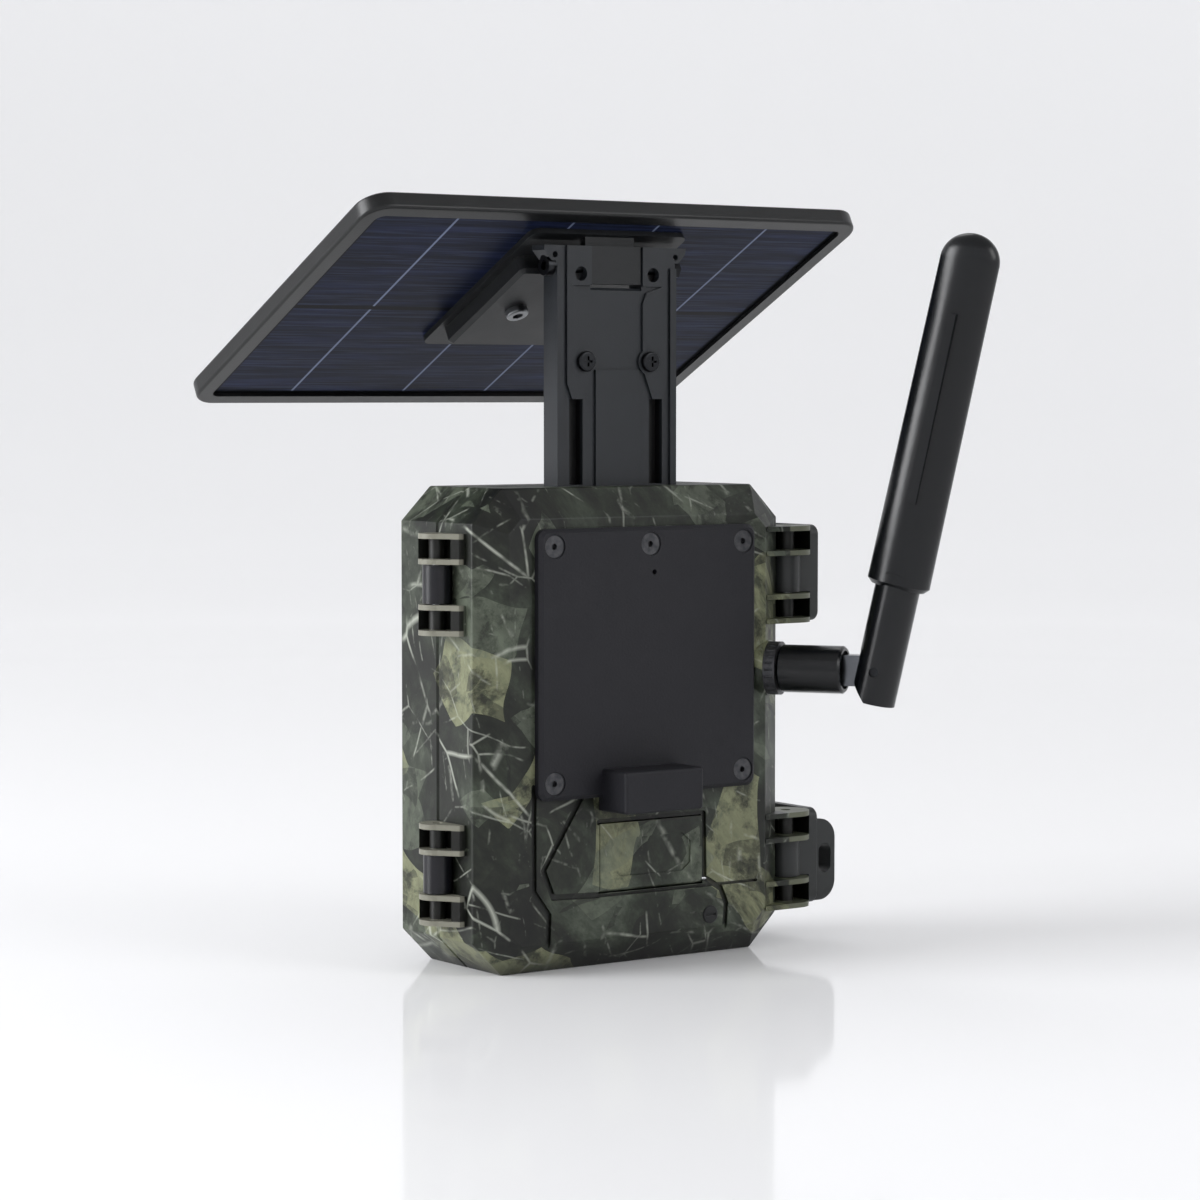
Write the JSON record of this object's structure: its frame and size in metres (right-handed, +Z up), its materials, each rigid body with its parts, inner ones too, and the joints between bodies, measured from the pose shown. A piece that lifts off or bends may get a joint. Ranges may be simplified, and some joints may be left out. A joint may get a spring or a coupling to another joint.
{
  "type": "trail camera",
  "caption": "Weatherproof trail camera in a camouflaged clamshell case with a folding antenna and a tilting solar panel on a mast",
  "frame": {"origin": "middle of the rear shell's flat foot, on the plane the camera stands on", "axes": "+Z up; the lens looks along -Y and the mounting plate faces +Y; +X is the hinge side and -X the latch and antenna side"},
  "size_m": [0.1773, 0.1711, 0.2231],
  "materials": {
    "camo": "moulded ABS, film-printed woodland camouflage, satin",
    "plate": "aluminium, fine-texture charcoal powder coat",
    "black_plastic": "glass-filled nylon, fine moulded grain",
    "antenna_plastic": "semi-matt moulded black plastic",
    "dark_steel": "black-oxide steel",
    "steel": "bright turned stainless steel",
    "brass": "turned brass",
    "contact": "nickel-plated spring steel",
    "cell_can": "sleeved battery cells",
    "rubber": "moulded silicone rubber",
    "clear_glass": "clear, polished",
    "dark_window": "infrared-pass polycarbonate, near black, polished",
    "milky_plastic": "milky polyethylene",
    "led": "cast epoxy",
    "solar_cell": "blue-black silicon wafer with printed silver lines",
    "clear_sheet": "clear back sheet laminated over the cells",
    "board": "glass-epoxy board with green solder mask",
    "screen": "display module, polished front",
    "copper": "drawn copper rod"
  },
  "bodies": {
    "rear_case": {"rear_shell": "camo", "case_gasket": "rubber", "mounting_plate": "plate", "plate_screws": "dark_steel", "tripod_block": "plate", "tripod_insert": "brass", "flap_pin": "steel", "port_plug": "rubber", "dc_socket": "black_plastic", "battery_tray": "black_plastic", "battery_cells": "cell_can", "battery_contacts": "contact", "battery_cover": "black_plastic", "hinge_pins": "steel", "latch_pins": "steel", "mast": "black_plastic", "mast_screws": "steel", "tilt_bolt": "steel", "antenna_connector": "steel", "antenna_collar": "dark_steel"},
    "front_case": {"front_shell": "camo", "upper_hinge_knuckle": "black_plastic", "lower_hinge_knuckle": "black_plastic", "lens_window": "clear_glass", "lens_barrel": "black_plastic", "lens_glass": "clear_glass", "image_sensor": "board", "ir_board": "board", "ir_leds": "led", "ir_window": "dark_window", "pir_lens": "milky_plastic", "pir_sensor": "steel", "light_pipe": "milky_plastic", "main_board": "board", "lcd_screen": "screen", "inner_panel": "black_plastic", "card_slot": "steel"},
    "upper_latch": {"upper_latch_lever": "black_plastic"},
    "lower_latch": {"lower_latch_lever": "black_plastic"},
    "port_cover": {"port_flap": "camo"},
    "antenna_foot": {"antenna_base": "antenna_plastic", "antenna_knuckle": "steel"},
    "antenna_blade": {"antenna_arm": "antenna_plastic", "elbow_pin": "steel", "antenna_sheath": "antenna_plastic", "antenna_element": "copper"},
    "solar_panel": {"panel_frame": "black_plastic", "panel_glass": "clear_glass", "panel_cells": "solar_cell", "panel_backsheet": "clear_sheet", "panel_pad": "black_plastic", "pad_screws": "steel"},
    "menu_button": {"menu_key": "rubber"},
    "up_button": {"up_key": "rubber"},
    "down_button": {"down_key": "rubber"},
    "ok_button": {"ok_key": "rubber"},
    "mode_knob": {"mode_switch": "black_plastic"},
    "card": {"memory_card": "black_plastic"},
    "filter_pane": {"ir_cut_filter": "clear_glass"}
  },
  "joints": [
    {"name": "case_hinge", "type": "hinge", "parent": "rear_case", "child": "front_case", "pos_m": [0.0582, -0.0072, 0.07], "axis": [0, 0, 1], "range_deg": [0, 120]},
    {"name": "upper_latch_pivot", "type": "hinge", "parent": "rear_case", "child": "upper_latch", "pos_m": [-0.0599, 0.0048, 0.1126], "axis": [0, 0, -1], "range_deg": [0, 95]},
    {"name": "lower_latch_pivot", "type": "hinge", "parent": "rear_case", "child": "lower_latch", "pos_m": [-0.0599, 0.0048, 0.026], "axis": [0, 0, -1], "range_deg": [0, 95]},
    {"name": "port_flap_hinge", "type": "hinge", "parent": "rear_case", "child": "port_cover", "pos_m": [-0.004, 0.0109, 0.0233], "axis": [-1, 0, 0], "range_deg": [0, 95]},
    {"name": "antenna_swivel", "type": "hinge", "parent": "rear_case", "child": "antenna_foot", "pos_m": [-0.0485, 0.01048, 0.0848], "axis": [-0.5677, 0.8232, 0], "range_deg": [-180, 180]},
    {"name": "antenna_elbow", "type": "hinge", "parent": "antenna_foot", "child": "antenna_blade", "pos_m": [-0.06809, 0.03888, 0.0848], "axis": [0.8232, 0.5677, 0], "range_deg": [-77.5, 12.5]},
    {"name": "panel_tilt", "type": "hinge", "parent": "rear_case", "child": "solar_panel", "pos_m": [-0.001, -0.0045, 0.204], "axis": [1, 0, 0], "range_deg": [-27.5, 9.5]},
    {"name": "menu_press", "type": "slide", "parent": "front_case", "child": "menu_button", "axis": [0, -1, 0], "range_m": [0, 0.0008], "stiffness_N_per_m": 500},
    {"name": "up_press", "type": "slide", "parent": "front_case", "child": "up_button", "axis": [0, -1, 0], "range_m": [0, 0.0008], "stiffness_N_per_m": 500},
    {"name": "down_press", "type": "slide", "parent": "front_case", "child": "down_button", "axis": [0, -1, 0], "range_m": [0, 0.0008], "stiffness_N_per_m": 500},
    {"name": "ok_press", "type": "slide", "parent": "front_case", "child": "ok_button", "axis": [0, -1, 0], "range_m": [0, 0.0008], "stiffness_N_per_m": 500},
    {"name": "mode_slide", "type": "slide", "parent": "front_case", "child": "mode_knob", "axis": [1, 0, 0], "range_m": [-0.003, 0.003]},
    {"name": "card_push", "type": "slide", "parent": "front_case", "child": "card", "axis": [0, 0, 1], "range_m": [0, 0.0012], "stiffness_N_per_m": 500},
    {"name": "filter_slide", "type": "slide", "parent": "front_case", "child": "filter_pane", "axis": [1, 0, 0], "range_m": [0, 0.009]}
  ]
}
